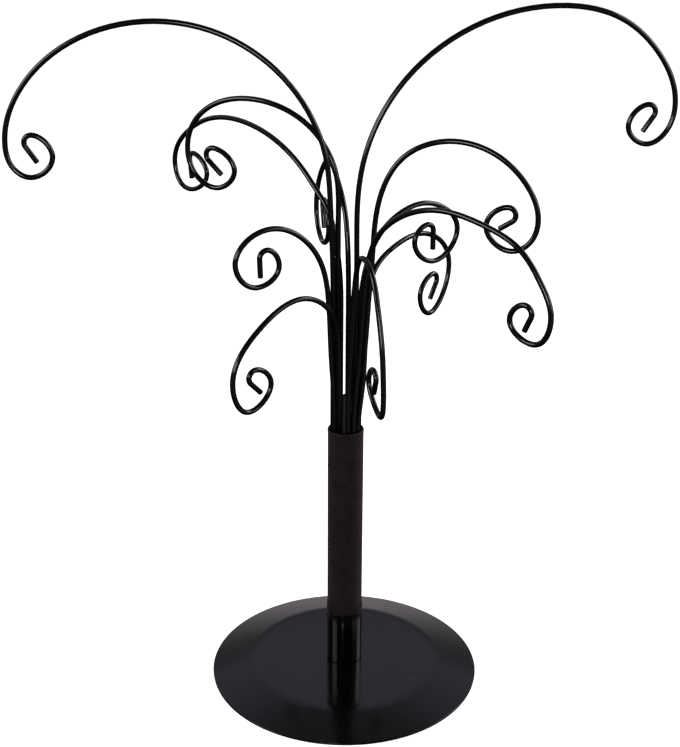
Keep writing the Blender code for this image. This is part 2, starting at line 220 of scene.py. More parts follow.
class BaseSizes(bpy.types.PropertyGroup):
    """Sizes of the base plate, its pad and its socket."""

    sheet: length("Sheet", "Thickness of the pressed sheet", 1.2 * MM)
    rim_thickness: length("Rim thickness", "Thickness of the hemmed rim", 0.8 * MM)
    band_width: length("Band width", "From the rim's edge in to the crease", 20.0 * MM)
    band_rise: length("Band rise", "From the rim's underside up to the crease", 5.4 * MM)
    crease_blend: length("Crease blend", "Reach of the rounding beside the crease", 2.5 * MM)
    dome_rise: length("Dome rise", "From the crease up to the seat", 0.4 * MM)
    seat_margin: length("Seat margin", "Flat seat beyond the socket's foot", 1.5 * MM)
    hem_width: length("Hem width", "Width of the folded hem under the rim", 7.0 * MM)
    hem_share: share("Hem share", "Thickness of the hem as a share of the rim's", 0.8)
    bead: length("Bead", "Reach of the rounding along the rim", 0.2 * MM)
    bead_fall: share("Bead fall", "How far the rounding comes down, as a share of its reach", 0.7)
    bead_drop: length("Bead drop", "How far the rim's rolled edge comes down", 0.5 * MM)
    edge_round: length("Edge rounding", "Rounding of the plate's other edges", 0.1 * MM)
    socket_round: length("Socket rounding", "Rounding of the socket's ends", 0.06 * MM)
    pad_round: length("Pad rounding", "Rounding of the pad's cut edges", 0.15 * MM)
    steps: IntProperty(name="Steps", description="Faces round the plate", default=192, min=12)


class TrunkSizes(bpy.types.PropertyGroup):
    """Sizes of the collar, the trunk tube and the core."""

    collar_height: length("Collar height", "Height of the collar on the socket", 5.0 * MM)
    edge_round: length("Edge rounding", "Rounding of moulded and cut edges", 0.12 * MM)
    collar_foot: length("Collar foot", "Height over which it draws in to the socket", 0.4 * MM)
    foot_gap: length("Foot gap", "From the collar up to the tube's foot", 0.05 * MM)
    mouth_round: length("Mouth rounding", "Depth of the rounding at the tube's mouth", 0.5 * MM)
    mouth_flare: length("Mouth flare", "How far the rounding opens the bore", 0.35 * MM)
    mouth_draw: length("Mouth draw", "How far the rounding draws in the lip", 0.2 * MM)
    core_proud: length("Core height", "How far the core stands above the mouth", 17.5 * MM)
    core_cone: share("Core cone", "Share of that height which its cone takes", 0.6)
    core_tip: share("Core tip", "Radius of the cone's tip, as a share of the core's", 0.45)
    core_tip_rise: length("Core tip rise", "Height of the tip's rounded cap", 1.0 * MM)
    core_round: length("Core rounding", "Rounding of the core's sanded edges", 0.5 * MM)
    steps: IntProperty(name="Steps", description="Faces round the trunk", default=96, min=12)


class WireSizes(bpy.types.PropertyGroup):
    """Sizes of the wire and the fineness of its tubes."""

    diameter: length("Wire diameter", "Diameter of the coated wire", 2.5 * MM)
    end_round: length("End rounding", "Rounding that the coating leaves on a cut end", 0.4 * MM)
    longest_step: length("Longest step", "Most length between two rings", 6.0 * MM)
    ring_turn: turn("Ring turn", "Most bend between two rings", 3.0)
    sides: IntProperty(name="Sides", description="Faces round the wire", default=20, min=6)


class Finishes(bpy.types.PropertyGroup):
    """Colours and gloss of the finishes."""

    enamel: colour("Enamel", "Stoved enamel on the base and the wires", "#040304")
    dust: colour("Dust", "Dust nibs in the enamel", "#8c8a88")
    enamel_roughness: share("Enamel roughness", "How far the enamel's gloss spreads", 0.12)
    coating: colour("Coating", "Textured coating on the trunk tube", "#161114")
    coating_light: colour("Coating, light", "Rubbed patches of the coating", "#201a1c")
    coating_roughness: share("Coating roughness", "How matt the coating is", 0.62)
    nylon: colour("Nylon", "Moulded nylon of the collar", "#161214")
    nylon_roughness: share("Nylon roughness", "How matt the nylon is", 0.6)
    sheen: colour("Sheen", "Warm sheen of the coating and the nylon", "#ffd2d8")
    zinc: colour("Zinc", "Plated steel of the fittings", "#a7a8a4")
    felt: colour("Felt", "Pad under the base", "#19181a")
    # Painted shade: the felt is drawn darker in the hollows between its fibres.
    felt_hollow_shade: colour("Felt, dark", "Hollows between the felt's fibres", "#0d0c0e")
    stain: colour("Stain", "Stained beech of the core", "#0d0a09")
    stain_light: colour("Stain, light", "Rays in the stained beech", "#1d1512")


class StageSettings(bpy.types.PropertyGroup):
    """The floor, the lights and the camera."""

    floor: colour("Floor", "Pale floor", "#f4f4f4")
    floor_glow: strength("Floor glow", "Light that the floor gives off by itself", 0.93)
    table_left: strength("Table, left", "Light that comes up from the table's left", 0.1)
    table_right: strength("Table, right", "Light that comes up from the table's right", 0.21)
    room: strength("Room", "Light of the room behind the camera", 0.07)
    front_tint: colour("Front tint", "Tint of the table's and the room's light", "#fff7fd")
    window: strength("Window", "Radiance of the big diffuser on the left", 5.2)
    strip: strength("Strip", "Radiance of the narrow diffuser beside the camera", 11.0)
    bounce: strength("Bounce", "Radiance of the low reflector on the right", 2.6)
    side: strength("Side", "Radiance of the diffuser behind and to the right", 5.5)
    lens: FloatProperty(
        name="Lens", description="Focal length", default=69.48, min=1.0, unit="CAMERA"
    )
    camera_place: FloatVectorProperty(
        name="Camera place", description="Where the camera stands", size=3,
        default=(-2.8 * MM, -610.65 * MM, 409.08 * MM), subtype="TRANSLATION",
    )
    camera_pitch: turn("Camera pitch", "How far the camera looks down", 22.352)
    camera_roll: turn("Camera roll", "How far the camera leans", 0.3)


class TreeSettings(bpy.types.PropertyGroup):
    """Everything about the tree that a user would change."""

    base: PointerProperty(type=BaseSizes)
    trunk: PointerProperty(type=TrunkSizes)
    wire: PointerProperty(type=WireSizes)
    finish: PointerProperty(type=Finishes)
    stage: PointerProperty(type=StageSettings)


def add_node(tree, kind, inputs=None, **settings):
    """Add a node; an input is either a value or the output socket that feeds it."""
    node = tree.nodes.new(kind)
    for name, value in settings.items():
        setattr(node, name, value)
    for name, value in (inputs or {}).items():
        socket = node.inputs[name]
        if isinstance(value, bpy.types.NodeSocket):
            tree.links.new(value, socket)
        else:
            socket.default_value = value
    return node


def new_finish(name, shader_values):
    """A material with its Principled shader set, and its Object coordinates."""
    material = bpy.data.materials.new(name)
    material.use_nodes = True
    tree = material.node_tree
    shader = tree.nodes["Principled BSDF"]
    for socket, value in shader_values.items():
        shader.inputs[socket].default_value = value
    place = add_node(tree, "ShaderNodeTexCoord").outputs["Object"]
    return material, tree, shader, place


def per(size):
    """Texture scale whose features are this long, in metres."""
    return 1.0 / size


def stoved_enamel(finish):
    """Gloss black enamel, sprayed on steel and stoved.

    It flows out almost to a mirror, with a faint orange peel about 2 mm across and slow swells
    where it ran, so that streaks of light waver. A little dust has settled in it.
    """
    material, tree, shader, place = new_finish("stoved_enamel", {"IOR": 1.5})
    haze = add_node(
        tree, "ShaderNodeTexNoise", {"Vector": place, "Scale": per(17.0 * MM), "Detail": 3.0}
    )
    gloss = add_node(tree, "ShaderNodeMapRange", {
        "Value": haze.outputs["Fac"], "From Min": 0.3, "From Max": 0.7,
        "To Min": finish.enamel_roughness * 0.8, "To Max": finish.enamel_roughness * 1.35,
    })
    tree.links.new(gloss.outputs["Result"], shader.inputs["Roughness"])
    # Dust nibs, about 0.3 mm across, one to every square of 11 mm or so.
    cells = add_node(tree, "ShaderNodeTexVoronoi", {"Vector": place, "Scale": per(11.0 * MM)})
    nibs = add_node(tree, "ShaderNodeMapRange", {
        "Value": cells.outputs["Distance"], "From Min": 0.012, "From Max": 0.022,
        "To Min": 1.0, "To Max": 0.0,
    })
    paint = add_node(tree, "ShaderNodeMix", {
        "Factor": nibs.outputs["Result"], "A": (*finish.enamel, 1.0),
        "B": (*finish.dust, 1.0),
    }, data_type="RGBA")
    tree.links.new(paint.outputs["Result"], shader.inputs["Base Color"])
    swell = add_node(
        tree, "ShaderNodeTexNoise", {"Vector": place, "Scale": per(9.0 * MM), "Detail": 1.0}
    )
    runs = add_node(
        tree, "ShaderNodeBump", {"Height": swell.outputs["Fac"], "Distance": 0.022 * MM}
    )
    peel = add_node(tree, "ShaderNodeTexNoise", {"Vector": place, "Scale": per(2.0 * MM)})
    skin = add_node(tree, "ShaderNodeBump", {
        "Height": peel.outputs["Fac"], "Distance": 0.0024 * MM, "Normal": runs.outputs["Normal"],
    })
    tree.links.new(skin.outputs["Normal"], shader.inputs["Normal"])
    return material


def textured_coating(finish):
    """Matt black textured powder coating, sprayed on the tube and baked.

    The grains melt into a fine pebbled skin, about 0.4 mm across, which scatters the light and
    leaves soft cloudy patches of a browner black.
    """
    material, tree, shader, place = new_finish("textured_powder_coating", {
        "IOR": 1.5, "Specular IOR Level": 0.12, "Sheen Weight": 0.15, "Sheen Roughness": 0.5,
        "Sheen Tint": (*finish.sheen, 1.0),
    })
    cloud = add_node(tree, "ShaderNodeTexNoise", {
        "Vector": place, "Scale": per(5.0 * MM), "Detail": 4.0, "Roughness": 0.65,
    })
    patch = add_node(tree, "ShaderNodeMapRange", {
        "Value": cloud.outputs["Fac"], "From Min": 0.35, "From Max": 0.65,
    })
    tint = add_node(tree, "ShaderNodeMix", {
        "Factor": patch.outputs["Result"], "A": (*finish.coating, 1.0),
        "B": (*finish.coating_light, 1.0),
    }, data_type="RGBA")
    tree.links.new(tint.outputs["Result"], shader.inputs["Base Color"])
    gloss = add_node(tree, "ShaderNodeMapRange", {
        "Value": cloud.outputs["Fac"], "From Min": 0.3, "From Max": 0.7,
        "To Min": finish.coating_roughness * 0.9, "To Max": finish.coating_roughness * 1.1,
    })
    tree.links.new(gloss.outputs["Result"], shader.inputs["Roughness"])
    waves = add_node(
        tree, "ShaderNodeBump", {"Height": cloud.outputs["Fac"], "Distance": 0.04 * MM}
    )
    pebble = add_node(
        tree, "ShaderNodeTexNoise", {"Vector": place, "Scale": per(0.4 * MM), "Detail": 3.0}
    )
    skin = add_node(tree, "ShaderNodeBump", {
        "Height": pebble.outputs["Fac"], "Distance": 0.014 * MM, "Normal": waves.outputs["Normal"],
    })
    tree.links.new(skin.outputs["Normal"], shader.inputs["Normal"])
    return material


def moulded_nylon(finish):
    """Black nylon, injection moulded: matt, from the spark-eroded mould that it came out of."""
    material, tree, shader, place = new_finish("moulded_nylon", {
        "IOR": 1.53, "Specular IOR Level": 0.12, "Sheen Weight": 0.1, "Sheen Roughness": 0.5,
        "Sheen Tint": (*finish.sheen, 1.0), "Base Color": (*finish.nylon, 1.0),
    })
    bloom = add_node(
        tree, "ShaderNodeTexNoise", {"Vector": place, "Scale": per(3.0 * MM), "Detail": 2.0}
    )
    gloss = add_node(tree, "ShaderNodeMapRange", {
        "Value": bloom.outputs["Fac"], "From Min": 0.3, "From Max": 0.7,
        "To Min": finish.nylon_roughness * 0.9, "To Max": finish.nylon_roughness * 1.15,
    })
    tree.links.new(gloss.outputs["Result"], shader.inputs["Roughness"])
    spark = add_node(
        tree, "ShaderNodeTexNoise", {"Vector": place, "Scale": per(0.25 * MM), "Detail": 2.0}
    )
    pits = add_node(
        tree, "ShaderNodeBump", {"Height": spark.outputs["Fac"], "Distance": 0.005 * MM}
    )
    tree.links.new(pits.outputs["Normal"], shader.inputs["Normal"])
    return material


def plated_steel(finish):
    """Zinc-plated steel, turned on a lathe: a grey metal with fine rings round its axis."""
    material, tree, shader, place = new_finish(
        "zinc_plated_steel", {"Metallic": 1.0, "Base Color": (*finish.zinc, 1.0)}
    )
    bloom = add_node(
        tree, "ShaderNodeTexNoise", {"Vector": place, "Scale": per(2.5 * MM), "Detail": 3.0}
    )
    gloss = add_node(tree, "ShaderNodeMapRange", {
        "Value": bloom.outputs["Fac"], "From Min": 0.3, "From Max": 0.7,
        "To Min": 0.28, "To Max": 0.42,
    })
    tree.links.new(gloss.outputs["Result"], shader.inputs["Roughness"])
    # Tool marks: noise that is squeezed along the axis and drawn out across it.
    squeeze = add_node(tree, "ShaderNodeMapping", {
        "Vector": place, "Scale": (per(40.0 * MM), per(40.0 * MM), per(0.3 * MM)),
    })
    turning = add_node(
        tree, "ShaderNodeTexNoise",
        {"Vector": squeeze.outputs["Vector"], "Scale": 1.0, "Detail": 2.0},
    )
    marks = add_node(
        tree, "ShaderNodeBump", {"Height": turning.outputs["Fac"], "Distance": 0.008 * MM}
    )
    tree.links.new(marks.outputs["Normal"], shader.inputs["Normal"])
    return material


def pressed_felt(finish):
    """Black wool felt, pressed: matted fibres about 0.6 mm long, with a soft sheen at the edge."""
    material, tree, shader, place = new_finish(
        "pressed_felt", {"Roughness": 0.95, "Sheen Weight": 0.35, "Sheen Roughness": 0.5}
    )
    fibres = add_node(tree, "ShaderNodeTexNoise", {
        "Vector": place, "Scale": per(0.6 * MM), "Detail": 6.0, "Roughness": 0.7,
    })
    # Painted shade: the felt is darker where the fibres' bump dips, in the hollows between them.
    tint = add_node(tree, "ShaderNodeMix", {
        "Factor": fibres.outputs["Fac"], "A": (*finish.felt_hollow_shade, 1.0),
        "B": (*finish.felt, 1.0),
    }, data_type="RGBA")
    tree.links.new(tint.outputs["Result"], shader.inputs["Base Color"])
    matting = add_node(
        tree, "ShaderNodeBump", {"Height": fibres.outputs["Fac"], "Distance": 0.12 * MM}
    )
    tree.links.new(matting.outputs["Normal"], shader.inputs["Normal"])
    return material


def stained_beech(finish):
    """Beech dowel, stained black: straight fine grain, with the lighter flecks of its rays."""
    material, tree, shader, place = new_finish("stained_beech", {"Roughness": 0.6})
    # Grain runs along the dowel, so the noise is drawn out along the upright axis.
    along = add_node(tree, "ShaderNodeMapping", {
        "Vector": place, "Scale": (per(0.5 * MM), per(0.5 * MM), per(14.0 * MM)),
    })
    fibre = add_node(
        tree, "ShaderNodeTexNoise",
        {"Vector": along.outputs["Vector"], "Scale": 1.0, "Detail": 3.0},
    )
    tint = add_node(tree, "ShaderNodeMix", {
        "Factor": fibre.outputs["Fac"], "A": (*finish.stain, 1.0),
        "B": (*finish.stain_light, 1.0),
    }, data_type="RGBA")
    tree.links.new(tint.outputs["Result"], shader.inputs["Base Color"])
    pores = add_node(
        tree, "ShaderNodeBump", {"Height": fibre.outputs["Fac"], "Distance": 0.06 * MM}
    )
    tree.links.new(pores.outputs["Normal"], shader.inputs["Normal"])
    return material


# Materials made so far, by the name of their maker
MADE = {}


def finish_of(context, maker):
    """The material that a maker gives, made once and then shared."""
    key = maker.__name__
    if key not in MADE:
        MADE[key] = maker(context.scene.jewellery_tree.finish)
    return MADE[key]


def turn_profile(profile, steps, closed=True):
    """Spin a profile of (radius, height) points about the upright axis into a solid."""
    mesh = bmesh.new()
    verts = [mesh.verts.new((radius, 0, height)) for radius, height in profile]
    edges = [mesh.edges.new(pair) for pair in zip(verts, verts[1:])]
    if closed:
        edges.append(mesh.edges.new((verts[-1], verts[0])))
    bmesh.ops.spin(
        mesh, geom=verts + edges, cent=(0, 0, 0), axis=(0, 0, 1), angle=math.tau,
        steps=steps, use_merge=True,
    )
    bmesh.ops.remove_doubles(mesh, verts=mesh.verts[:], dist=MERGE_DISTANCE)
    bmesh.ops.recalc_face_normals(mesh, faces=mesh.faces[:])
    return mesh


def round_edges(mesh, width, sharper_than=35.0):
    """Round every edge whose faces meet at more than an angle, in degrees."""
    limit = math.radians(sharper_than)
    edges = [e for e in mesh.edges if e.is_manifold and e.calc_face_angle() > limit]
    bmesh.ops.bevel(
        mesh, geom=edges, offset=width, offset_type="OFFSET", affect="EDGES",
        segments=EDGE_SEGMENTS, profile=0.5, material=-1, clamp_overlap=True,
    )


def add_piece(context, name, mesh, body, node, material):
    """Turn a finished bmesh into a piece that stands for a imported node."""
    data = bpy.data.meshes.new(name)
    mesh.to_mesh(data)
    mesh.free()
    data.shade_smooth()
    data.materials.append(material)
    piece = bpy.data.objects.new(name, data)
    context.scene.collection.objects.link(piece)
    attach(piece, body)
    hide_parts(node)
    return piece


def shade_evenly(piece):
    """Keep wide faces flat beside their rounded edges."""
    even = piece.modifiers.new("Even shading", "WEIGHTED_NORMAL")
    even.keep_sharp = True


def parabola(before, corner, after, points):
    """Points of a parabola that leaves one side of a corner and joins the other."""
    curve = []
    for i in range(points + 1):
        t = i / points
        curve.append(tuple(
            (1 - t) ** 2 * p + 2 * t * (1 - t) * q + t * t * r
            for p, q, r in zip(before, corner, after)
        ))
    return curve


def rim_edge(sizes, rim, slope):
    """Section of the rim's edge, which is rolled over and down, past the pad's edge."""
    bead_top = (PLATE_RADIUS - sizes.bead, rim[1] + slope * (rim[0] - PLATE_RADIUS + sizes.bead))
    bead_corner = (PLATE_RADIUS, rim[1] - slope * (PLATE_RADIUS - rim[0]))
    bead_side = (PLATE_RADIUS, bead_corner[1] - sizes.bead * sizes.bead_fall)
    # Underside of the roll, as (inset from the rim's edge, height above the roll's lowest line)
    roll_section = [
        (0.12 * MM, 0.15 * MM),
        (0.5 * MM, 0.0),
        (1.2 * MM, 0.0),
        (1.5 * MM, sizes.bead_drop),
    ]
    lowest = RIM_BOTTOM - sizes.bead_drop
    roll = [(PLATE_RADIUS - inset, lowest + height) for inset, height in roll_section]
    return parabola(bead_top, bead_corner, bead_side, BEAD_POINTS) + roll


def plate_profile(sizes):
    """Section of the pressed plate: seat, dome, crease, band, hemmed rim and underside."""
    seat_radius = SOCKET_RADIUS + sizes.seat_margin
    crease_radius = PLATE_RADIUS - sizes.band_width
    crease_height = RIM_BOTTOM + sizes.band_rise
    rim = (PLATE_RADIUS - RIM_INSET, RIM_BOTTOM + sizes.rim_thickness)
    slope = (crease_height - rim[1]) / (rim[0] - crease_radius)
    inner_radius = crease_radius - sizes.crease_blend
    dome = []
    for i in range(DOME_POINTS + 1):
        radius = seat_radius + (inner_radius - seat_radius) * i / DOME_POINTS
        part = (radius - seat_radius) / (crease_radius - seat_radius)
        dome.append((radius, SEAT_TOP - sizes.dome_rise * part ** 2))
    after = (crease_radius + sizes.crease_blend, crease_height - slope * sizes.crease_blend)
    corner = (crease_radius, crease_height)
    top = dome[:-1] + parabola(dome[-1], corner, after, CREASE_POINTS)
    hem_top = RIM_BOTTOM + sizes.rim_thickness * sizes.hem_share
    hem_radius = PLATE_RADIUS - sizes.hem_width
    hem_root = rim[0] - (hem_top + sizes.sheet - rim[1]) / slope
    hem = [(hem_radius, RIM_BOTTOM), (hem_radius, hem_top), (hem_root, hem_top)]
    under = [(radius, height - sizes.sheet) for radius, height in reversed(top)]
    seat_under = SEAT_TOP - sizes.sheet
    return (
        [(SCREW_HOLE, SEAT_TOP)] + top + rim_edge(sizes, rim, slope) + hem + under
        + [(SCREW_HOLE, seat_under)]
    )


class JEWELLERY_TREE_OT_base_plate(bpy.types.Operator):
    """Make the round enamelled base plate"""

    bl_idname = "jewellery_tree.base_plate"
    bl_label = "Base plate"

    def execute(self, context):
        sizes = context.scene.jewellery_tree.base
        mesh = turn_profile(plate_profile(sizes), sizes.steps)
        round_edges(mesh, sizes.edge_round, sharper_than=25.0)
        add_piece(
            context, "enamelled_plate", mesh, "base", "base_plate",
            finish_of(context, stoved_enamel),
        )
        return {"FINISHED"}


class JEWELLERY_TREE_OT_base_pad(bpy.types.Operator):
    """Make the felt pad under the base plate"""

    bl_idname = "jewellery_tree.base_pad"
    bl_label = "Felt pad"

    def execute(self, context):
        sizes = context.scene.jewellery_tree.base
        profile = [(0, PAD_TOP), (PAD_RADIUS, PAD_TOP), (PAD_RADIUS, PAD_BOTTOM), (0, PAD_BOTTOM)]
        mesh = turn_profile(profile, sizes.steps, closed=False)
        round_edges(mesh, sizes.pad_round)
        pad = add_piece(
            context, "felt_disc", mesh, "base", "base_pad",
            finish_of(context, pressed_felt),
        )
        shade_evenly(pad)
        return {"FINISHED"}


class JEWELLERY_TREE_OT_base_socket(bpy.types.Operator):
    """Make the short enamelled tube in the middle of the base"""

    bl_idname = "jewellery_tree.base_socket"
    bl_label = "Socket"

    def execute(self, context):
        settings = context.scene.jewellery_tree
        bore = SOCKET_RADIUS - SOCKET_WALL
        profile = [
            (bore, SOCKET_TOP),
            (SOCKET_RADIUS, SOCKET_TOP),
            (SOCKET_RADIUS, SOCKET_BOTTOM),
            (bore, SOCKET_BOTTOM),
        ]
        mesh = turn_profile(profile, settings.trunk.steps)
        round_edges(mesh, settings.base.socket_round)
        socket = add_piece(
            context, "enamelled_socket", mesh, "base", "base_socket",
            finish_of(context, stoved_enamel),
        )
        shade_evenly(socket)
        return {"FINISHED"}


class JEWELLERY_TREE_OT_socket_bush(bpy.types.Operator):
    """Make the moulded collar that lines the socket's mouth"""

    bl_idname = "jewellery_tree.socket_bush"
    bl_label = "Collar"

    def execute(self, context):
        trunk = context.scene.jewellery_tree.trunk
        liner = SOCKET_RADIUS - SOCKET_WALL - GAP
        bore = liner - LINER_WALL
        bottom = BUSH_TOP - trunk.collar_height
        profile = [
            (bore, BUSH_TOP),
            (TUBE_RADIUS, BUSH_TOP),
            (BUSH_RADIUS, bottom + trunk.collar_foot),
            (SOCKET_RADIUS, bottom),
            (liner, bottom),
            (liner, LINER_BOTTOM),
            (bore, LINER_BOTTOM),
        ]
        mesh = turn_profile(profile, trunk.steps)
        round_edges(mesh, trunk.edge_round)
        bush = add_piece(
            context, "nylon_collar", mesh, "bush", "socket_bush",
            finish_of(context, moulded_nylon),
        )
        shade_evenly(bush)
        return {"FINISHED"}


class JEWELLERY_TREE_OT_trunk_tube(bpy.types.Operator):
    """Make the coated tube round the foot of the wires"""

    bl_idname = "jewellery_tree.trunk_tube"
    bl_label = "Trunk tube"

    def execute(self, context):
        trunk = context.scene.jewellery_tree.trunk
        bore = TUBE_RADIUS - TUBE_WALL
        foot = BUSH_TOP + trunk.foot_gap
        profile = [
            (bore + trunk.mouth_flare, MOUTH),
            (LIP_RADIUS - trunk.mouth_draw, MOUTH),
            (LIP_RADIUS, MOUTH - trunk.mouth_round),
            (TUBE_RADIUS, MOUTH - TUBE_LIP_HEIGHT),
            (TUBE_RADIUS, foot),
            (bore, foot),
            (bore, MOUTH - trunk.mouth_round),
        ]
        mesh = turn_profile(profile, trunk.steps)
        round_edges(mesh, trunk.edge_round, sharper_than=20.0)
        tube = add_piece(
            context, "coated_tube", mesh, "trunk", "trunk_tube",
            finish_of(context, textured_coating),
        )
        shade_evenly(tube)
        return {"FINISHED"}


class JEWELLERY_TREE_OT_core(bpy.types.Operator):
    """Make the dowel that spreads the wires"""

    bl_idname = "jewellery_tree.core"
    bl_label = "Core"

    def execute(self, context):
        trunk = context.scene.jewellery_tree.trunk
        profile = [
            (0, CORE_TOP),
            (CORE_RADIUS * trunk.core_tip, CORE_TOP - trunk.core_tip_rise),
            (CORE_RADIUS, CORE_TOP - trunk.core_proud * trunk.core_cone),
            (CORE_RADIUS, WIRE_FOOT),
            (0, WIRE_FOOT),
        ]
        mesh = turn_profile(profile, trunk.steps // 2, closed=False)
        round_edges(mesh, trunk.core_round, sharper_than=20.0)
        add_piece(
            context, "stained_dowel", mesh, "trunk", "bundle_core",
            finish_of(context, stained_beech),
        )
        return {"FINISHED"}


class JEWELLERY_TREE_OT_fittings(bpy.types.Operator):
    """Give the steel fittings inside the base and the trunk their plating"""

    bl_idname = "jewellery_tree.fittings"
    bl_label = "Steel fittings"

    def execute(self, context):
        steel = finish_of(context, plated_steel)
        for name in ("base_screw", "base_washer", "socket_plug", "trunk_spigot"):
            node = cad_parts[name]
            node.data.materials.clear()
            node.data.materials.append(steel)
        return {"FINISHED"}


def smooth_spans(points, start_slope, end_slope):
    """Sample a curvature-continuous cubic through the points, spaced by chord length.

    Each inner point gives one equation, which makes the curvature before it and after it equal.
    """
    points = np.array(points, dtype=float)
    count = len(points)
    chord = np.linalg.norm(np.diff(points, axis=0), axis=1)
    matrix = np.zeros((count, count))
    right = np.zeros((count, 2))
    matrix[0, 0] = 1
    matrix[-1, -1] = 1
    right[0] = start_slope
    right[-1] = end_slope
    for i in range(1, count - 1):
        before, after = chord[i - 1], chord[i]
        matrix[i, i - 1] = after
        matrix[i, i] = 2 * (before + after)
        matrix[i, i + 1] = before
        rise_in = (points[i] - points[i - 1]) * after / before
        rise_out = (points[i + 1] - points[i]) * before / after
        right[i] = 3 * (rise_in + rise_out)
    slope = np.linalg.solve(matrix, right)
    sampled = []
    for i in range(count - 1):
        for k in range(SPLINE_POINTS):
            u = k / SPLINE_POINTS
            ends = (1 + 2 * u) * (1 - u) ** 2 * points[i] + u * u * (3 - 2 * u) * points[i + 1]
            pull = u * (1 - u) ** 2 * slope[i] - u * u * (1 - u) * slope[i + 1]
            sampled.append(ends + chord[i] * pull)
    sampled.append(points[-1])
    return sampled


def cut_end(start, lean, tip):
    """Bend tightly over from the curl's level top, then run straight to the cut end."""
    centre = start - np.array([0, END_BEND])
    sweep = math.pi / 2 + math.radians(lean)
    bend = []
    for k in range(1, BEND_POINTS + 1):
        angle = sweep * k / BEND_POINTS
        bend.append(centre + END_BEND * np.array([math.sin(angle), math.cos(angle)]))
    heading = np.array([math.cos(sweep), -math.sin(sweep)])
    return bend + [bend[-1] + tip * heading]


def ring_places(route, wire):
    """Points of a route that take a ring, each with its heading from plumb."""
    places = [(route[0], 0.0)]
    bent = 0.0
    for before, point, after in zip(route, route[1:], route[2:]):
        into = point - before
        out = after - point
        cross = into[1] * out[0] - into[0] * out[1]
        bent += abs(math.atan2(cross, float(np.dot(into, out))))
        run = float(np.linalg.norm(after - places[-1][0]))
        if bent > wire.ring_turn or run > wire.longest_step:
            along = into / np.linalg.norm(into) + out / np.linalg.norm(out)
            places.append((point, math.atan2(along[0], along[1])))
            bent = 0.0
    last = route[-1] - route[-2]
    places.append((route[-1], math.atan2(last[0], last[1])))
    return places


def branch_route(branch):
    """Centreline in the branch's own plane: stem, arch, curl, tight bend and cut end."""
    guide = [(reach * MM, MOUTH + height * MM) for reach, height in branch["route"]]
    curve = smooth_spans(guide, start_slope=(0, 1), end_slope=(1, 0))
    end = cut_end(curve[-1], branch["turn"], branch["tip"] * MM)
    return [np.array([0, WIRE_FOOT])] + curve + end


def bend_wire(branch, wire):
    """Extrude a ring of the wire along a branch's route and round its cut end."""
    ring_radius = (wire.diameter + WIRE_GAP) / (2 * math.sin(math.radians(SEAT_PITCH / 2)))
    seat = math.radians(branch["seat"])
    foot = Vector((ring_radius * math.cos(seat), ring_radius * math.sin(seat), 0))
    plane = Matrix.Translation(foot) @ Matrix.Rotation(math.radians(branch["faces"]), 4, "Z")
    rings = [
        plane @ Matrix.Translation((point[0], 0, point[1])) @ Matrix.Rotation(heading, 4, "Y")
        for point, heading in ring_places(branch_route(branch), wire)
    ]
    mesh = bmesh.new()
    made = bmesh.ops.create_circle(
        mesh, segments=wire.sides, radius=wire.diameter / 2, matrix=rings[0]
    )
    edges = mesh.edges[:]
    bmesh.ops.contextual_create(mesh, geom=made["verts"])
    for before, after in zip(rings, rings[1:]):
        grown = bmesh.ops.extrude_edge_only(mesh, edges=edges)["geom"]
        verts = [part for part in grown if isinstance(part, bmesh.types.BMVert)]
        edges = [part for part in grown if isinstance(part, bmesh.types.BMEdge)]
        bmesh.ops.transform(mesh, matrix=after @ before.inverted(), verts=verts)
    bmesh.ops.contextual_create(mesh, geom=verts)
    bmesh.ops.bevel(
        mesh, geom=edges, offset=wire.end_round, offset_type="OFFSET", affect="EDGES",
        segments=END_SEGMENTS, profile=0.5, material=-1, clamp_overlap=True,
    )
    bmesh.ops.recalc_face_normals(mesh, faces=mesh.faces[:])
    return mesh


class JEWELLERY_TREE_OT_branches(bpy.types.Operator):
    """Bend the twelve wire branches"""

    bl_idname = "jewellery_tree.branches"
    bl_label = "Wire branches"

    def execute(self, context):
        wire = context.scene.jewellery_tree.wire
        enamel = finish_of(context, stoved_enamel)
        for node, branch in BRANCHES.items():
            name = node.replace("_branch", "_wire")
            mesh = bend_wire(branch, wire)
            add_piece(context, name, mesh, "trunk", node, enamel)
        return {"FINISHED"}


def floor_paint(stage):
    """Matt white board, lit from below so that it stays white, with a trace of shadow."""
    return new_finish("white_board", {
        "Roughness": 1.0, "Specular IOR Level": 0.0, "Base Color": (*stage.floor, 1.0),
        "Emission Color": (*linear("#ffffff"), 1.0), "Emission Strength": stage.floor_glow,
    })[0]


# Soft light panels: azimuth from the camera's side towards +X and elevation, in degrees, and
# distance, width and height, in metres. Each is as bright as the stage's setting of its name.
PANELS = {
    "window": dict(azimuth=-67, elevation=20, distance=1.9, width=1.0, height=0.9),
    "strip": dict(azimuth=-11, elevation=10, distance=1.1, width=0.3, height=0.28),
    "bounce": dict(azimuth=72, elevation=12, distance=1.33, width=0.92, height=0.5),
    "side": dict(azimuth=108, elevation=28, distance=1.6, width=0.8, height=0.9),
}
PANEL_AIM = Vector((0, 0, 0.2))
FLOOR_SIZE = 3.0


def hang_panel(context, name, place, radiance):
    """Hang a soft light panel that faces the tree's middle."""
    light = bpy.data.lights.new(name, "AREA")
    light.shape = "RECTANGLE"
    light.size = place["width"]
    light.size_y = place["height"]
    # A flat panel gives off pi times its radiance and its area.
    light.energy = radiance * math.pi * place["width"] * place["height"]
    lamp = bpy.data.objects.new(name, light)
    azimuth = math.radians(place["azimuth"])
    elevation = math.radians(place["elevation"])
    back = Vector((
        math.sin(azimuth) * math.cos(elevation),
        -math.cos(azimuth) * math.cos(elevation),
        math.sin(elevation),
    ))
    lamp.location = back * place["distance"] + PANEL_AIM
    lamp.rotation_euler = back.to_track_quat("Z", "Y").to_euler()
    lamp.visible_camera = False
    context.scene.collection.objects.link(lamp)


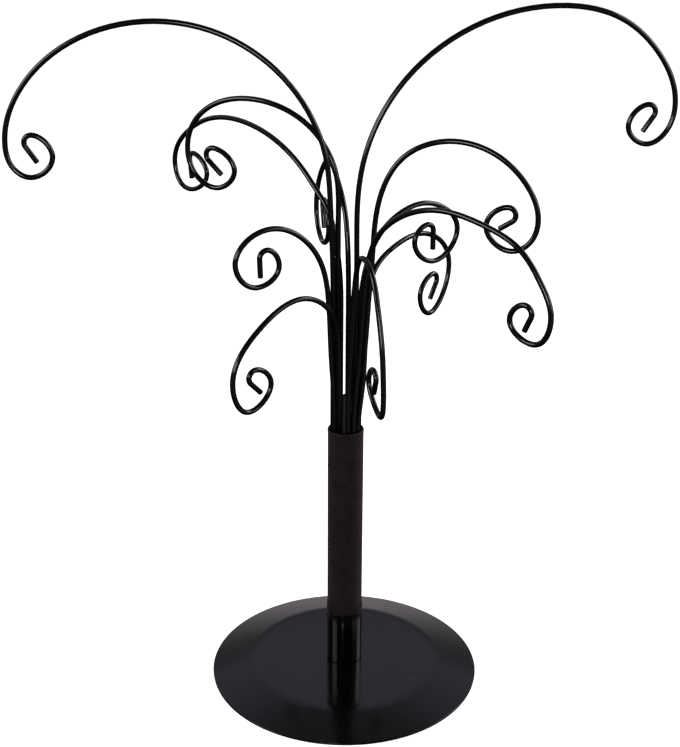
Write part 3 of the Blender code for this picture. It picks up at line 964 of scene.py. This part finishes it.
# What the gloss mirrors from behind the tree, by elevation in degrees: radiance and tint.
WALL = [
    (-90, 0.02, "#ffffff"),
    (-8, 0.03, "#ffffff"),
    (-3, 0.52, "#fff7ff"),
    (5, 0.66, "#fff7ff"),
    (11, 0.46, "#fff7ff"),
    (15.4, 0.34, "#fff7ff"),
    (21, 0.2, "#fff7ff"),
    (27, 0.24, "#f4eeff"),
    (33, 0.42, "#f4eeff"),
    (49, 0.38, "#f4eeff"),
    (56, 0.26, "#f4eeff"),
    (61, 0.23, "#f4eeff"),
    (76, 0.28, "#f4eeff"),
    (90, 0.1, "#f4eeff"),
]


def light_from_behind(tree, split):
    """The wall behind the tree, which fades out towards the camera's side."""
    climb = add_node(
        tree, "ShaderNodeMapRange",
        {"Value": split.outputs["Z"], "From Min": -1.0, "From Max": 1.0},
    )
    ramp = add_node(tree, "ShaderNodeValToRGB", {"Fac": climb.outputs["Result"]})
    elements = ramp.color_ramp.elements
    while len(elements) < len(WALL):
        elements.new(0.5)
    for element, (elevation, light, tint) in zip(elements, WALL):
        element.position = (math.sin(math.radians(elevation)) + 1) / 2
        element.color = (*(light * channel for channel in linear(tint)), 1)
    behind = add_node(tree, "ShaderNodeMapRange", {
        "Value": split.outputs["Y"], "From Min": -0.2, "From Max": 0.6, "To Min": 0.1,
    })
    return add_node(tree, "ShaderNodeBackground", {
        "Color": ramp.outputs["Color"], "Strength": behind.outputs["Result"],
    })


def light_from_the_front(tree, split, stage):
    """The table below the horizon, brighter on the right, and above it the dim room."""
    across = add_node(tree, "ShaderNodeMapRange", {
        "Value": split.outputs["X"], "From Min": -0.2, "From Max": 0.9,
        "To Min": stage.table_left, "To Max": stage.table_right,
    }, interpolation_type="SMOOTHSTEP")
    # The tree's own shade keeps the table dark straight below.
    shade = add_node(tree, "ShaderNodeMapRange", {
        "Value": split.outputs["Z"], "From Min": -0.85, "From Max": -0.5, "To Min": 0.15,
    })
    table = add_node(
        tree, "ShaderNodeMath",
        {0: across.outputs["Result"], 1: shade.outputs["Result"]}, operation="MULTIPLY",
    )
    # The room fades out overhead.
    room = add_node(tree, "ShaderNodeMapRange", {
        "Value": split.outputs["Z"], "From Min": 0.4, "From Max": 0.7,
        "To Min": stage.room, "To Max": 0.0,
    })
    above = add_node(tree, "ShaderNodeMapRange", {
        "Value": split.outputs["Z"], "From Min": -0.1, "From Max": 0.05,
    })
    facing = add_node(tree, "ShaderNodeMix", {
        "Factor": above.outputs["Result"], "A": table.outputs["Value"],
        "B": room.outputs["Result"],
    }, data_type="FLOAT")
    ahead = add_node(tree, "ShaderNodeMapRange", {
        "Value": split.outputs["Y"], "From Min": -0.3, "From Max": 0.2,
        "To Min": 1.0, "To Max": 0.0,
    })
    front = add_node(
        tree, "ShaderNodeMath",
        {0: facing.outputs["Result"], 1: ahead.outputs["Result"]}, operation="MULTIPLY",
    )
    return add_node(tree, "ShaderNodeBackground", {
        "Color": (*stage.front_tint, 1.0), "Strength": front.outputs["Value"],
    })


def light_world(context, stage):
    """White to the camera; to the object, a wall behind it and a dim table in front."""
    world = bpy.data.worlds.new("studio")
    context.scene.world = world
    world.use_nodes = True
    tree = world.node_tree
    tree.nodes.clear()
    # The direction that light comes from, as a unit vector: Z is 0 at the horizon, 1 overhead.
    heading = add_node(tree, "ShaderNodeTexCoord")
    split = add_node(tree, "ShaderNodeSeparateXYZ", {"Vector": heading.outputs["Generated"]})
    wall = light_from_behind(tree, split)
    front = light_from_the_front(tree, split, stage)
    around = add_node(tree, "ShaderNodeAddShader", {
        0: wall.outputs["Background"], 1: front.outputs["Background"],
    })
    seen = add_node(
        tree, "ShaderNodeBackground", {"Color": (*linear("#ffffff"), 1.0), "Strength": 1.0}
    )
    rays = add_node(tree, "ShaderNodeLightPath")
    mix = add_node(tree, "ShaderNodeMixShader", {
        0: rays.outputs["Is Camera Ray"], 1: around.outputs["Shader"],
        2: seen.outputs["Background"],
    })
    add_node(tree, "ShaderNodeOutputWorld", {"Surface": mix.outputs["Shader"]})


def lay_floor(context, stage):
    """A wide board under the tree, which its gloss doesn't mirror."""
    mesh = bmesh.new()
    bmesh.ops.create_grid(mesh, x_segments=1, y_segments=1, size=FLOOR_SIZE)
    data = bpy.data.meshes.new("floor")
    mesh.to_mesh(data)
    mesh.free()
    data.materials.append(floor_paint(stage))
    floor = bpy.data.objects.new("floor", data)
    floor.visible_glossy = False
    floor.visible_diffuse = False
    context.scene.collection.objects.link(floor)


def set_camera(context, stage):
    """The camera stands in front and looks down at the tree, with a slight lean."""
    lens = bpy.data.cameras.new("camera")
    lens.lens = stage.lens
    camera = bpy.data.objects.new("camera", lens)
    pitch = Euler((math.radians(90) - stage.camera_pitch, 0, 0)).to_matrix()
    roll = Matrix.Rotation(stage.camera_roll, 3, "Z")
    camera.rotation_euler = (pitch @ roll).to_euler()
    camera.location = stage.camera_place
    context.scene.collection.objects.link(camera)
    context.scene.camera = camera


class JEWELLERY_TREE_OT_stage(bpy.types.Operator):
    """Lay the floor, hang the lights and set up the camera"""

    bl_idname = "jewellery_tree.stage"
    bl_label = "Stage"

    def execute(self, context):
        stage = context.scene.jewellery_tree.stage
        lay_floor(context, stage)
        for name, place in PANELS.items():
            hang_panel(context, name, place, getattr(stage, name))
        light_world(context, stage)
        set_camera(context, stage)
        context.scene.view_settings.view_transform = "Standard"
        return {"FINISHED"}


PIECES = (
    JEWELLERY_TREE_OT_base_plate,
    JEWELLERY_TREE_OT_base_pad,
    JEWELLERY_TREE_OT_base_socket,
    JEWELLERY_TREE_OT_socket_bush,
    JEWELLERY_TREE_OT_trunk_tube,
    JEWELLERY_TREE_OT_core,
    JEWELLERY_TREE_OT_fittings,
    JEWELLERY_TREE_OT_branches,
    JEWELLERY_TREE_OT_stage,
)


class JEWELLERY_TREE_PT_panel(bpy.types.Panel):
    """Buttons and settings of the jewellery tree"""

    bl_idname = "JEWELLERY_TREE_PT_panel"
    bl_label = "Jewellery tree"
    bl_space_type = "VIEW_3D"
    bl_region_type = "UI"
    bl_category = "Jewellery tree"

    def draw(self, context):
        settings = context.scene.jewellery_tree
        for operator in PIECES:
            self.layout.operator(operator.bl_idname)
        for group in (
            settings.base, settings.trunk, settings.wire, settings.finish, settings.stage
        ):
            box = self.layout.box()
            for name in group.__annotations__:
                box.prop(group, name)


GROUPS = (BaseSizes, TrunkSizes, WireSizes, Finishes, StageSettings, TreeSettings)


def register():
    """Register the settings, the operators and the panel."""
    for group in GROUPS:
        bpy.utils.register_class(group)
    for operator in PIECES:
        bpy.utils.register_class(operator)
    bpy.utils.register_class(JEWELLERY_TREE_PT_panel)
    bpy.types.Scene.jewellery_tree = PointerProperty(type=TreeSettings)


def unregister():
    """Take the panel, the operators and the settings away again."""
    del bpy.types.Scene.jewellery_tree
    bpy.utils.unregister_class(JEWELLERY_TREE_PT_panel)
    for operator in reversed(PIECES):
        bpy.utils.unregister_class(operator)
    for group in reversed(GROUPS):
        bpy.utils.unregister_class(group)


def main():
    """Make the whole tree and its stage."""
    register()
    bpy.ops.jewellery_tree.base_plate()
    bpy.ops.jewellery_tree.base_pad()
    bpy.ops.jewellery_tree.base_socket()
    bpy.ops.jewellery_tree.socket_bush()
    bpy.ops.jewellery_tree.trunk_tube()
    bpy.ops.jewellery_tree.core()
    bpy.ops.jewellery_tree.fittings()
    bpy.ops.jewellery_tree.branches()
    bpy.ops.jewellery_tree.stage()


if __name__ == "__main__":
    main()
